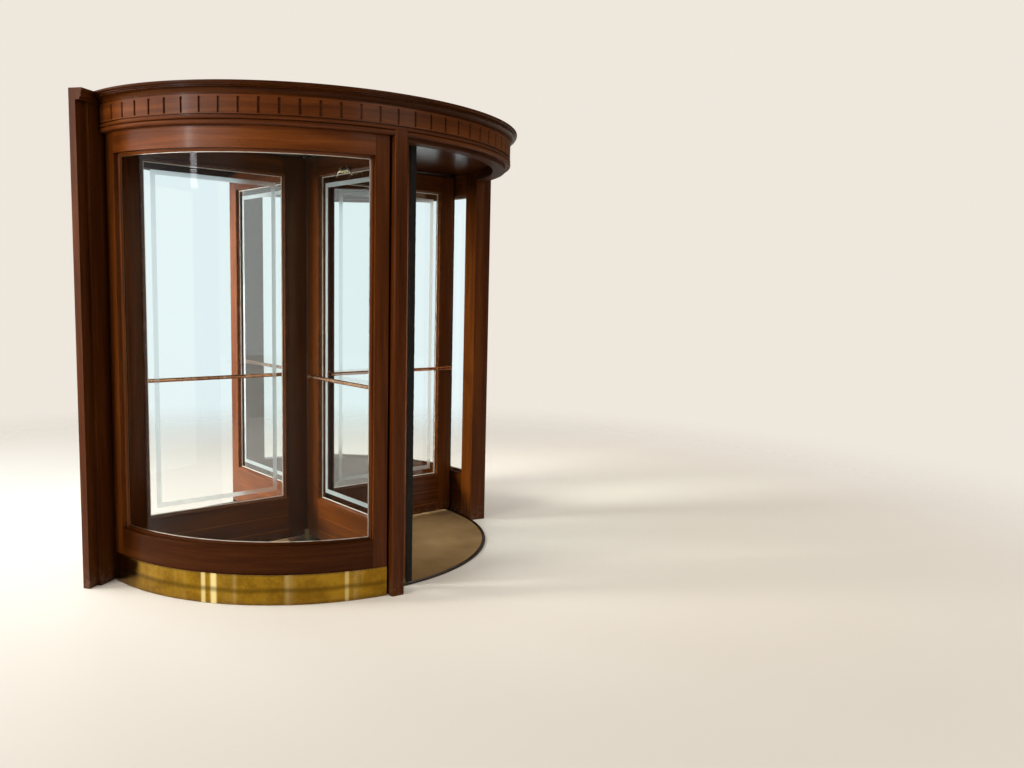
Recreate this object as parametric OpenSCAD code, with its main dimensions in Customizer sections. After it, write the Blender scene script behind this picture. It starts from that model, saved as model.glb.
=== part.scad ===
// Four-leaf revolving door: a round wooden drum with curved glass walls and a turning cross of leaves.
// Millimetres. The origin is on the floor at the turning axis, -Y is the lobby side, +Y the street side.

/* [Drum] */
// Radius of the inner face of the curved walls
drum_r = 1075; // [1000:5:1200]
// Thickness of the curved walls
wall_t = 71; // [64:1:80]
// Clear height of the two ways through
clear_h = 2217; // [2000:1:2400]
// Height of the header over a way through
header_h = 51; // [42:1:70]
// Thickness of the ceiling
ceiling_t = 20; // [12:1:30]
// Thickness of the dust cover on top
deck_t = 10; // [6:1:16]

/* [Curved frames] */
// Height of a bottom rail
base_rail_h = 287; // [220:1:340]
// Height of a top rail, up to the ceiling
top_rail_h = 130; // [105:1:170]
// Width of an upright
stile_w = 70; // [55:1:95]
// width of the uprights of the curved frames on the street side
back_stile = 52; // [40:1:70]
// Thickness of the curved glass
glass_t = 8; // [6:1:12]
// How deep the glass sits in its frame
rebate = 12; // [8:1:16]
// Width of the bead round the curved glass
bead_w = 11; // [8:1:14]
// Height of the brass kick plates
kick_h = 149; // [100:1:200]
// Thickness of the brass kick plates
kick_t = 3; // [2:0.5:4]
// Gap under the kick plates
kick_gap = 2; // [1:0.5:4]

/* [Posts] */
// Angle from the lobby direction to the middle of a post
post_angle = 41.8; // [38:0.1:46]
// Width of a post
post_w = 70; // [56:1:90]
// Depth of a post
post_depth = 105; // [92:1:125]
// How far a post's outer part reaches over the fascia's underside
post_over = 26; // [15:1:30]
// Width of the recessed strip between a post and its frame
neck_w = 13; // [10:1:24]
// Depth of the recessed strip
neck_depth = 47; // [35:1:60]
// Radius of a post's rounded corners
post_corner = 11; // [6:1:14]

/* [Fascia and cornice] */
// How far the fascia hangs below the ceiling
fascia_drop = 31; // [22:1:42]
// Height of the fascia
fascia_h = 129; // [115:1:170]
// Thickness of the fascia's flat
fascia_t = 20; // [14:1:28]
// Radius of the lowest bead
low_bead = 11; // [7:1:13]
// Radius of the second bead
second_bead = 8; // [5:1:9]
// Thickness of the slotted band on the fascia
band_t = 8; // [4:0.5:9]
// Number of slots round the band
slot_count = 81; // [60:1:96]
// Angle of the first slot from the line of the building's wall
slot_start = 0.6; // [0:0.1:4]
// Width of a slot
slot_w = 11; // [6:1:14]
// Height of a slot
slot_h = 72; // [45:1:76]
// Height of the cornice
cornice_h = 54; // [36:1:64]
// How far the cornice stands out from the fascia's flat
cornice_out = 45; // [36:1:60]

/* [Jambs at the building's wall] */
// Lobby face of a jamb, from the axis
jamb_y = 590; // [500:5:660]
// Depth of a jamb
jamb_t = 56; // [50:1:80]
// Width of a jamb, out from the drum
jamb_w = 109; // [85:1:140]
// Width of the filler board between a jamb and the masonry
filler_w = 58; // [40:1:110]
// How far the filler board is set back from the jamb
filler_back = 20; // [10:1:30]
// How far the cornice on a jamb stands out
return_out = 16; // [10:1:30]
// Width of the strip of wall between a curved frame and its jamb
strip_w = 26; // [16:1:40]

/* [Leaves] */
// Angle of the first leaf at rest
rest_angle = 55; // [45:1:60]
// Thickness of a leaf
leaf_t = 40; // [36:1:50]
// Width of the upright next to the shaft
inner_stile = 140; // [125:1:170]
// Width of the upright next to the wall
outer_stile = 118; // [105:1:135]
// Height of the bottom rail
bottom_rail = 252; // [190:1:320]
// Height of the top rail
top_rail = 111; // [90:1:160]
// Thickness of a leaf's glass
pane_t = 8; // [6:1:10]
// Width of the moulding round the glass
mould_w = 24; // [20:1:30]
// How far the moulding stands out from the leaf
mould_rise = 7; // [4:0.5:9]
// Gap from the brushes to the drum, the ceiling and the floor
brush_gap = 6; // [5:0.5:8]
// Width of the brush on the upright edge
side_brush = 14; // [10:1:20]
// Thickness of the brush on the upright edge
side_brush_t = 35; // [20:1:36]
// Height of the brushes on the top and bottom edges
end_brush = 12; // [8:1:16]
// Thickness of the brushes on the top and bottom edges
end_brush_t = 12; // [8:1:16]

/* [Push bars] */
// Radius of a bar
bar_r = 11; // [9:0.5:14]
// Height of a bar
bar_z = 1000; // [900:5:1100]
// Distance from the middle of a leaf to a bar
bar_out = 62; // [52:1:75]
// Distance from a leaf's outer edge to the bracket near it
bracket_edge = 48; // [40:1:58]
// How far a bar reaches past its brackets
bar_over = 14; // [13:0.5:20]
// Radius of a bracket's base
base_r = 15; // [13:1:18]
// Thickness of a bracket's base
base_t = 5; // [3:1:8]

/* [Middle and floor] */
// Radius of the shaft
shaft_r = 30; // [27:1:36]
// Radius of the boss at the shaft's foot
boss_r = 44; // [40:1:55]
// Height of the boss
boss_h = 48; // [35:1:70]
// Thickness of the mat and its rim
mat_t = 8; // [5:1:12]
// Width of the metal rim
rim_w = 20; // [12:1:30]
// Radius of the floor pivot's cover
pivot_r = 135; // [110:1:160]
// How far the cover rises over the mat
pivot_rise = 5; // [3:0.5:7]

/* [Hidden] */
// Gap between pieces that fit inside or against one another
fit = 0.3;
// Gap at a butt joint
butt = 0.1;
ceiling_z = clear_h + header_h;
fascia_z = ceiling_z - fascia_drop;
cornice_z = fascia_z + fascia_h;
total_h = cornice_z + cornice_h;
wall_r = drum_r + wall_t;
seat_r = wall_r + fit;
fascia_r = seat_r + fascia_t;
cornice_r = fascia_r + cornice_out;
bulge_r = fascia_r + low_bead;
post_h = min(fascia_z + post_over, ceiling_z - 2);
beads_h = 2 * (low_bead + second_bead) + 1;
band_z = fascia_z + beads_h + low_bead / 2;
slot_z = (band_z + cornice_z) / 2 - 2;
glass_r = drum_r + wall_t / 2;
wall_glass_top = ceiling_z - top_rail_h;
neck_half = post_w / 2 + neck_w;
frame_angle = post_angle + asin(neck_half / wall_r);
butt_angle = asin(butt / drum_r);
jamb_in = sqrt(wall_r * wall_r - jamb_y * jamb_y);
wall_angle = 90 + asin(jamb_y / wall_r) - asin(strip_w / wall_r);
stile_angle = asin(stile_w / wall_r);
rail_angle = frame_angle + stile_angle + butt_angle;
rail_end = wall_angle - stile_angle - butt_angle;
groove_angle = asin(rebate / glass_r);
back_start = wall_angle + butt_angle;
back_end = 180 - frame_angle - butt_angle;
back_angle = asin(back_stile / wall_r);
glass_bead = glass_t / 2 + bead_w;
bead_angle = asin((glass_bead + 3 * butt) / drum_r);
jamb_x = jamb_in + jamb_w;
reveal_x = jamb_x + filler_w;
jamb_root = sqrt(drum_r * drum_r - pow(jamb_y + jamb_t, 2));
pivot_top = mat_t + pivot_rise;
boss_top = pivot_top + boss_h;
face_y = leaf_t / 2;
brush_r = drum_r - brush_gap;
leaf_r = brush_r - side_brush;
brush_top = ceiling_z - brush_gap;
leaf_top = brush_top - end_brush;
brush_z = pivot_top + brush_gap;
side_brush_z = mat_t + brush_gap;
leaf_z = brush_z + end_brush;
pane_in = shaft_r + inner_stile;
pane_out = leaf_r - outer_stile;
pane_z = leaf_z + bottom_rail;
pane_top = leaf_top - top_rail;
pane_w = pane_out - pane_in;
pane_h = pane_top - pane_z;
bracket_in = pane_in - mould_w - base_r - 2;
bracket_out = leaf_r - bracket_edge;
bar_length = bracket_out - bracket_in + 2 * bar_over;
ring_fn = 120;
rod_fn = 32;

// Turns an outline (x out from the axis, y up) from angle a1 to a2, counted from the lobby direction
// towards the west.
module swept(a1, a2) {
    rotate([0, 0, 270 - a2])
        rotate_extrude(angle = a2 - a1, $fn = ring_fn)
            children();
}

// A curved wall between two radii, two angles and two heights.
module curved_wall(r1, r2, a1, a2, z1, z2) {
    swept(a1, a2)
        translate([r1, z1])
            square([r2 - r1, z2 - z1]);
}

// The space that a curved glass takes between two sight angles, grown by a gap.
module bent_space(a1, a2, gap) {
    more = asin(gap / drum_r);
    curved_wall(glass_r - glass_t / 2 - gap, glass_r + glass_t / 2 + gap,
        a1 - groove_angle - more, a2 + groove_angle + more,
        base_rail_h - rebate - gap, wall_glass_top + rebate + gap);
}

// The space of the curved glass on the lobby side, grown by a gap.
module glass_space(gap) {
    bent_space(frame_angle + stile_angle, wall_angle - stile_angle, gap);
}

// The space of the curved glass on the street side, grown by a gap.
module back_space(gap) {
    bent_space(back_start + back_angle, back_end - back_angle, gap);
}

// A flat ring or disc.
module ring(r1, r2, z1, z2) {
    rotate_extrude($fn = ring_fn)
        translate([r1, z1])
            square([r2 - r1, z2 - z1]);
}

// Puts a west piece on the east side.
module east() {
    mirror([1, 0, 0])
        children();
}

// Puts a lobby piece on the street side.
module street() {
    mirror([0, 1, 0])
        children();
}

// Puts a leaf's piece in its place in the cross.
module on_leaf(n) {
    rotate([0, 0, rest_angle + 90 * (n - 1)])
        children();
}

// Points along an arc, for the rounded parts of the mouldings.
function arc(cx, cy, r, a1, a2, steps = 6) =
    [for (i = [0:steps]) [cx + r * cos(a1 + (a2 - a1) * i / steps), cy + r * sin(a1 + (a2 - a1) * i / steps)]];

// The outline of a bead beside the curved glass: x out from the glass's middle, y away from the frame.
function bead_points() = concat(
    [[glass_t / 2 + fit, -1], [glass_bead, -1]],
    arc(0, 0, glass_bead, 0, acos((glass_t / 2 + fit) / glass_bead), 5));

// The two beads on either side of the curved glass, swept along a rail; up is -1 over the glass.
module rail_beads(z, up) {
    a1 = frame_angle + stile_angle + bead_angle;
    a2 = wall_angle - stile_angle - bead_angle;
    swept(a1, a2)
        translate([glass_r, z])
            flipped(up)
                polygon(bead_points());
    swept(a1, a2)
        translate([glass_r, z])
            flipped(up)
                mirror([1, 0])
                    polygon(bead_points());
}

// Turns an outline upside down where up is -1.
module flipped(up) {
    mirror([0, up < 0 ? 1 : 0])
        children();
}

// The outline of a post with rounded outer corners, grown by a margin.
module post_outline(grow = 0) {
    depth = post_depth + grow;
    half = post_w / 2 + grow;
    translate([drum_r, -half + post_corner])
        square([depth, 2 * (half - post_corner)]);
    translate([drum_r, -half])
        square([depth - post_corner, 2 * half]);
    for (side = [-1, 1])
        translate([drum_r + depth - post_corner, side * (half - post_corner)])
            circle(post_corner, $fn = rod_fn);
}

module floor_mat() {
    color([0.36, 0.30, 0.22])
        ring(pivot_r + fit, drum_r - rim_w - fit, 0, mat_t);
}

module mat_rim() {
    color([0.20, 0.19, 0.18])
        ring(drum_r - rim_w, drum_r - fit, 0, mat_t);
}

// A low round cover, domed in two slopes up to the flat that the shaft stands on.
module floor_pivot() {
    color([0.25, 0.24, 0.22])
        rotate_extrude($fn = ring_fn)
            polygon([[0, 0], [pivot_r, 0], [pivot_r, mat_t], [pivot_r * 0.94, mat_t + pivot_rise * 0.3],
                [pivot_r * 0.7, mat_t + pivot_rise * 0.7], [pivot_r * 0.4, pivot_top], [0, pivot_top]]);
}

module ceiling() {
    color([0.22, 0.11, 0.07])
        ring(0, wall_r, ceiling_z, ceiling_z + ceiling_t);
}

module top_deck() {
    color([0.26, 0.14, 0.09])
        ring(0, wall_r, total_h - 2 * deck_t, total_h - deck_t);
}

// The fascia ring with two beads under its flat, notched round the four posts.
module fascia() {
    low_z = fascia_z + low_bead;
    second_z = fascia_z + 2 * low_bead + 1 + second_bead;
    color([0.31, 0.15, 0.08])
        difference() {
            rotate_extrude($fn = ring_fn)
                polygon(concat(
                    [[seat_r, fascia_z]],
                    arc(fascia_r, low_z, low_bead, -90, 90),
                    arc(fascia_r + 2, second_z, second_bead, -90, 90),
                    [[fascia_r, fascia_z + beads_h], [fascia_r, cornice_z], [seat_r, cornice_z]]));
            for (a = [-1, 1], b = [0, 180])
                rotate([0, 0, 270 + b + a * post_angle])
                    translate([0, 0, fascia_z - 1])
                        linear_extrude(post_over + 1 + fit)
                            post_outline(fit);
        }
}

// One upright slot with round ends, cut through the band.
module slot() {
    middle = slot_h - slot_w;
    translate([fascia_r - 1, -slot_w / 2, slot_z - middle / 2])
        cube([band_t + 2, slot_w, middle]);
    for (side = [-1, 1])
        translate([fascia_r - 1, 0, slot_z + side * middle / 2])
            rotate([0, 90, 0])
                cylinder(h = band_t + 2, d = slot_w, $fn = 16);
}

// A thin band round the fascia with a row of slots.
module fascia_band() {
    color([0.34, 0.17, 0.09])
        difference() {
            ring(fascia_r, fascia_r + band_t, band_z, cornice_z - butt);
            for (i = [0:slot_count - 1])
                rotate([0, 0, slot_start + i * 360 / slot_count])
                    slot();
        }
}

// The outline of the cornice: x is the distance out from the fascia, y the height. It has a small step,
// a hollow curve, a second step and a rounded top edge.
function cornice_points(out, high) = concat(
    [[0, 0], [out * 0.18, 0], [out * 0.18, high * 0.1]],
    arc(out * 0.71, high * 0.1, out * 0.53, 180, 90),
    [[out * 0.71, high * 0.65], [out * 0.85, high * 0.65], [out * 0.85, high * 0.75]],
    arc(out * 0.85, high * 0.75 + out * 0.15, out * 0.15, -90, 0, 4),
    [[out, high], [0, high]]);

module cornice() {
    color([0.24, 0.11, 0.06])
        rotate_extrude($fn = ring_fn)
            union() {
                translate([fascia_r, cornice_z])
                    polygon(cornice_points(cornice_out, cornice_h));
                translate([seat_r, cornice_z])
                    square([fascia_r - seat_r + 1, cornice_h]);
            }
}

module header() {
    color([0.22, 0.11, 0.07])
        difference() {
            curved_wall(drum_r, wall_r, -post_angle, post_angle, clear_h, ceiling_z - butt);
            for (a = [-1, 1])
                rotate([0, 0, 270 + a * post_angle])
                    translate([0, 0, clear_h - 1])
                        linear_extrude(header_h + 2)
                            post_outline(butt);
        }
}

module lobby_header() {
    header();
}

module street_header() {
    street()
        header();
}

// One post with its recessed strip; its outer part stops over the fascia's lowest bead.
module west_lobby_post() {
    color([0.36, 0.17, 0.09]) {
        rotate([0, 0, 270 - post_angle]) {
            linear_extrude(post_h)
                post_outline();
            translate([drum_r, -post_w / 2, post_h - 1])
                cube([wall_t - 2, post_w, ceiling_z - post_h + 1 - butt]);
        }
        difference() {
            curved_wall(drum_r, drum_r + neck_depth, post_angle, frame_angle, 0, ceiling_z - butt);
            rotate([0, 0, 270 - post_angle])
                translate([drum_r - 1, -post_w / 2 + 1, -1])
                    cube([wall_t, post_w, total_h]);
        }
    }
}

module west_street_post() {
    street()
        west_lobby_post();
}

// The bottom rail of a curved frame, with the beads under the glass.
module west_bottom_rail() {
    color([0.33, 0.15, 0.08]) {
        difference() {
            curved_wall(drum_r, wall_r, rail_angle, rail_end, 0, base_rail_h);
            glass_space(butt);
        }
        rail_beads(base_rail_h, 1);
    }
}

// The top rail of a curved frame, with the beads over the glass.
module west_top_rail() {
    color([0.40, 0.19, 0.09]) {
        difference() {
            curved_wall(drum_r, wall_r, rail_angle, rail_end, wall_glass_top, ceiling_z - butt);
            glass_space(butt);
        }
        rail_beads(wall_glass_top, -1);
    }
}

// One upright of a curved frame with its beads; side is 1 where the glass lies further west.
module curved_stile(a1, a2, side) {
    edge = side > 0 ? a2 : a1;
    z1 = base_rail_h + butt;
    z2 = wall_glass_top - butt;
    difference() {
        curved_wall(drum_r, wall_r, a1, a2, 0, ceiling_z - butt);
        glass_space(butt);
    }
    rotate([0, 0, 270 - edge])
        translate([glass_r, 0, z1]) {
            linear_extrude(z2 - z1)
                flipped(-side)
                    polygon(bead_points());
            linear_extrude(z2 - z1)
                flipped(-side)
                    mirror([1, 0])
                        polygon(bead_points());
        }
}

// The two uprights of a curved frame, grooved for the glass; they run the full height beside the rails.
module west_stiles() {
    color([0.33, 0.15, 0.08]) {
        curved_stile(frame_angle + butt_angle, frame_angle + stile_angle, 1);
        curved_stile(wall_angle - stile_angle, wall_angle, -1);
    }
}

// The curved glass of the lobby side and of the street side.
module west_glass() {
    color([0.75, 0.85, 0.85, 0.35]) {
        glass_space(0);
        back_space(0);
    }
}

module west_kick_plate() {
    color([0.72, 0.52, 0.18])
        curved_wall(seat_r, seat_r + kick_t, frame_angle, wall_angle, kick_gap, kick_h);
}

// The curved frame between the building's wall and the street post, grooved for its glass.
module west_back_panel() {
    color([0.33, 0.15, 0.08])
        difference() {
            curved_wall(drum_r, wall_r, back_start, back_end, 0, ceiling_z - butt);
            curved_wall(drum_r - 1, wall_r + 1, back_start + back_angle, back_end - back_angle,
                base_rail_h, wall_glass_top);
            back_space(butt);
        }
}

// The space that the drum's cornice takes, with a gap round it.
module cornice_space() {
    rotate_extrude($fn = ring_fn)
        union() {
            translate([0, cornice_z])
                square([fascia_r + fit + 1, cornice_h + 2]);
            translate([fascia_r + fit, cornice_z - fit])
                polygon(cornice_points(cornice_out, cornice_h));
            translate([0, total_h - 2])
                square([cornice_r + fit, 4]);
        }
}

// A jamb post against the drum, the filler board beside it, and their cornice cut to the drum's.
module west_jamb() {
    front = jamb_y - return_out;
    back = jamb_y + jamb_t;
    length = reveal_x - jamb_root;
    color([0.33, 0.15, 0.08])
        difference() {
            union() {
                translate([-jamb_x, jamb_y, 0])
                    cube([jamb_x - jamb_root, jamb_t, cornice_z]);
                translate([-reveal_x, jamb_y + filler_back, 0])
                    cube([reveal_x - jamb_x + 1, jamb_t - filler_back, cornice_z]);
                translate([-reveal_x, back, cornice_z])
                    rotate([90, 0, 90])
                        linear_extrude(length)
                            mirror([1, 0])
                                union() {
                                    square([jamb_t, cornice_h]);
                                    translate([jamb_t, 0])
                                        polygon(cornice_points(return_out, cornice_h));
                                }
            }
            translate([0, 0, -1])
                cylinder(r = seat_r, h = fascia_z + 1, $fn = ring_fn);
            translate([0, 0, fascia_z - 1])
                cylinder(r = bulge_r + fit, h = band_z - fascia_z + 1, $fn = ring_fn);
            translate([0, 0, band_z - 1])
                cylinder(r = fascia_r + band_t + fit, h = cornice_z - band_z + 2, $fn = ring_fn);
            cornice_space();
        }
}

module east_lobby_post() {
    east()
        west_lobby_post();
}

module east_street_post() {
    east()
        west_street_post();
}

module east_bottom_rail() {
    east()
        west_bottom_rail();
}

module east_top_rail() {
    east()
        west_top_rail();
}

module east_stiles() {
    east()
        west_stiles();
}

module east_glass() {
    east()
        west_glass();
}

module east_kick_plate() {
    east()
        west_kick_plate();
}

module east_back_panel() {
    east()
        west_back_panel();
}

module east_jamb() {
    east()
        west_jamb();
}

// The shaft with a boss at its foot, in four lumps between the leaves.
module central_shaft() {
    foot = pivot_top + fit;
    color([0.16, 0.10, 0.07])
        union() {
            translate([0, 0, foot])
                cylinder(r = shaft_r, h = ceiling_z - fit - foot, $fn = 64);
            difference() {
                translate([0, 0, foot])
                    cylinder(r = boss_r, h = boss_top - foot, $fn = 64);
                for (n = [1:4])
                    on_leaf(n)
                        translate([0, -face_y - fit, 0])
                            cube([2 * boss_r, leaf_t + 2 * fit, total_h]);
            }
        }
}

// Half of the moulding's cross-section: x out from the glass edge, y away from the leaf's middle.
function mould_points() = concat(
    [[0, pane_t / 2], [0, pane_t / 2 + 3]],
    arc(0, face_y - 4, mould_w * 0.22, -60, 0, 3),
    arc(mould_w * 0.5, face_y, mould_rise, 150, 90, 3),
    arc(mould_w - mould_rise, face_y, mould_rise, 90, 0, 4),
    [[mould_w, face_y - 1], [mould_w * 0.3, face_y - 1], [mould_w * 0.3, pane_t / 2]]);

// One straight length of the moulding on both faces, lying along +Z.
module mould(length) {
    linear_extrude(length)
        polygon(mould_points());
    mirror([0, 1, 0])
        linear_extrude(length)
            polygon(mould_points());
}

// The moulding round a leaf's glass.
module moulding() {
    w = pane_w + 2 * mould_w;
    h = pane_h + 2 * mould_w;
    translate([pane_out, 0, pane_z - mould_w])
        mould(h);
    translate([pane_in, 0, pane_z - mould_w])
        mirror([1, 0, 0])
            mould(h);
    translate([pane_in - mould_w, 0, pane_top])
        rotate([0, -90, 0])
            mirror([0, 0, 1])
                mould(w);
    translate([pane_in - mould_w, 0, pane_z])
        mirror([0, 0, 1])
            rotate([0, -90, 0])
                mirror([0, 0, 1])
                    mould(w);
}

// The space that a leaf's glass takes, grown by a gap.
module pane_space(gap) {
    edge = rebate + gap;
    translate([pane_in - edge, -pane_t / 2 - gap, pane_z - edge])
        cube([pane_w + 2 * edge, pane_t + 2 * gap, pane_h + 2 * edge]);
}

// A leaf's wood: two uprights and two rails round the glass, hollowed to the shaft.
module leaf_frame() {
    opening = mould_w * 0.25;
    difference() {
        union() {
            difference() {
                translate([shaft_r - 8, -face_y, leaf_z])
                    cube([leaf_r - shaft_r + 8, leaf_t, leaf_top - leaf_z]);
                translate([pane_in - opening, -leaf_t, pane_z - opening])
                    cube([pane_w + 2 * opening, 2 * leaf_t, pane_h + 2 * opening]);
            }
            moulding();
        }
        translate([0, 0, -1])
            cylinder(r = shaft_r + fit, h = total_h, $fn = 64);
        pane_space(butt);
    }
}

// A round bar with domed ends on the side that is pushed, on two brackets with round bases.
module leaf_push_bar() {
    translate([bracket_in - bar_over, -bar_out, bar_z])
        rotate([0, 90, 0])
            rotate_extrude($fn = rod_fn)
                polygon(concat([[0, 0]], arc(bar_r - 6, 6, 6, -90, 0, 4),
                    arc(bar_r - 6, bar_length - 6, 6, 0, 90, 4), [[0, bar_length]]));
    for (x = [bracket_in, bracket_out])
        translate([x, -face_y - butt, bar_z])
            rotate([90, 0, 0]) {
                cylinder(r = bar_r * 0.7, h = bar_out - face_y - 2, $fn = rod_fn);
                cylinder(r = base_r, h = base_t, $fn = rod_fn);
            }
}

// Black brushes along the wall, the ceiling and the floor.
module leaf_brushes() {
    translate([leaf_r + butt, -side_brush_t / 2, side_brush_z])
        cube([side_brush - butt, side_brush_t, brush_top - side_brush_z]);
    translate([shaft_r + 4, -end_brush_t / 2, leaf_top + butt])
        cube([leaf_r - shaft_r - 4, end_brush_t, end_brush - butt]);
    translate([boss_r + 4, -end_brush_t / 2, brush_z])
        cube([leaf_r - boss_r - 4, end_brush_t, end_brush - butt]);
}

module placed_frame(n) {
    color([0.30, 0.14, 0.08])
        on_leaf(n)
            leaf_frame();
}

module placed_glass(n) {
    color([0.75, 0.85, 0.85, 0.35])
        on_leaf(n)
            pane_space(0);
}

module placed_push_bar(n) {
    color([0.75, 0.45, 0.28])
        on_leaf(n)
            leaf_push_bar();
}

module placed_brushes(n) {
    color([0.06, 0.06, 0.06])
        on_leaf(n)
            leaf_brushes();
}

floor_mat();
mat_rim();
floor_pivot();
ceiling();
top_deck();
fascia();
fascia_band();
cornice();
lobby_header();
street_header();
west_lobby_post();
west_street_post();
west_bottom_rail();
west_top_rail();
west_stiles();
west_glass();
west_kick_plate();
west_back_panel();
west_jamb();
east_lobby_post();
east_street_post();
east_bottom_rail();
east_top_rail();
east_stiles();
east_glass();
east_kick_plate();
east_back_panel();
east_jamb();
central_shaft();
placed_frame(1);  // leaf_1_frame
placed_glass(1);  // leaf_1_glass
placed_push_bar(1);  // leaf_1_push_bar
placed_brushes(1);  // leaf_1_brushes
placed_frame(2);  // leaf_2_frame
placed_glass(2);  // leaf_2_glass
placed_push_bar(2);  // leaf_2_push_bar
placed_brushes(2);  // leaf_2_brushes
placed_frame(3);  // leaf_3_frame
placed_glass(3);  // leaf_3_glass
placed_push_bar(3);  // leaf_3_push_bar
placed_brushes(3);  // leaf_3_brushes
placed_frame(4);  // leaf_4_frame
placed_glass(4);  // leaf_4_glass
placed_push_bar(4);  // leaf_4_push_bar
placed_brushes(4);  // leaf_4_brushes
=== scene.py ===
"""The looks of the four-leaf revolving door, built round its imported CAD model. Metres, +Z up."""
import math

import bmesh
import bpy
from mathutils import Matrix, Vector, noise


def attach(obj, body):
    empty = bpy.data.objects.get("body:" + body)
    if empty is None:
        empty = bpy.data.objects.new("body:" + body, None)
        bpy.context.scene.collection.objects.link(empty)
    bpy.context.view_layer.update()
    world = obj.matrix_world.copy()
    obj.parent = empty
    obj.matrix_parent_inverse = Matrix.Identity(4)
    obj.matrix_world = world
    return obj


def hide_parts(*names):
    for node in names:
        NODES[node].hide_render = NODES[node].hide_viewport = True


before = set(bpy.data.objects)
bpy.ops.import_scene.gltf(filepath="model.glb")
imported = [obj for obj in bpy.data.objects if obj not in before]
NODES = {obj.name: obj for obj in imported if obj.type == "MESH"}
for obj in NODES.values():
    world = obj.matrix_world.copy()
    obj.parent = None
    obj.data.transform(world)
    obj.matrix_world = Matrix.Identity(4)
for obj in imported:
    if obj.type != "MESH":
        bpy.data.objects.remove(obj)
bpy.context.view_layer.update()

SIDES = ("west", "east")
LEAVES = (1, 2, 3, 4)

# Sizes that the part's source also holds, in metres and degrees, with heights from the floor.

# The curved walls, their angles counted from the lobby direction: the outer face, the two panes of glass on
# each side, what is seen of the lobby pane between its beads, and the kick plates.
WALL_R = 1.146
GLASS_R, GLASS_T = 1.1105, 0.008
GLASS_ANGLES = (47.09, 116.79)
BACK_GLASS_ANGLES = (121.68, 133.80)
GLASS_Z = (0.275, 2.150)
SEEN_ANGLES = (48.52, 115.36)
SEEN_Z = (0.3014, 2.1236)
KICK_Z, KICK_TOP = 0.002, 0.149

# The band on the fascia, the cornice over it, and the slots, whose angles start from the line of the wall.
BAND_R, BAND_T = 1.1663, 0.008
BAND_Z, CORNICE_Z = 2.2815, 2.366
SLOT_COUNT, SLOT_START = 81, 0.6
SLOT_Z, SLOT_H, SLOT_W = 2.32175, 0.072, 0.011

# The leaves, their lengths counted from the turning axis: the first one's angle from +X, the shaft and its
# boss, half a leaf's thickness, the seen part of a pane, the pane's thickness and how deep it sits in the
# frame, the frame's outer edges, and the brushes.
REST_ANGLE = 55.0
SHAFT_R, BOSS_R = 0.030, 0.044
FACE_Y = 0.020
PANE_IN, PANE_OUT = 0.170, 0.937
PANE_Z, PANE_TOP = 0.283, 2.139
PANE_T, REBATE = 0.008, 0.012
LEAF_R, BRUSH_R = 1.055, 1.069
LEAF_Z, LEAF_TOP = 0.031, 2.250
SIDE_BRUSH_Z, BRUSH_TOP = 0.014, 2.262
SIDE_BRUSH_T, END_BRUSH_T, END_BRUSH_H = 0.035, 0.012, 0.012

# The push bars: height, distance from the leaf's middle plane, and their brackets' places along the leaf.
BAR_Z, BAR_OUT = 1.000, 0.062
BRACKETS = (0.129, 1.007)

# The gap that keeps a new piece off the face it sits on.
SEAT = 0.0001


# Node trees.

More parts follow.
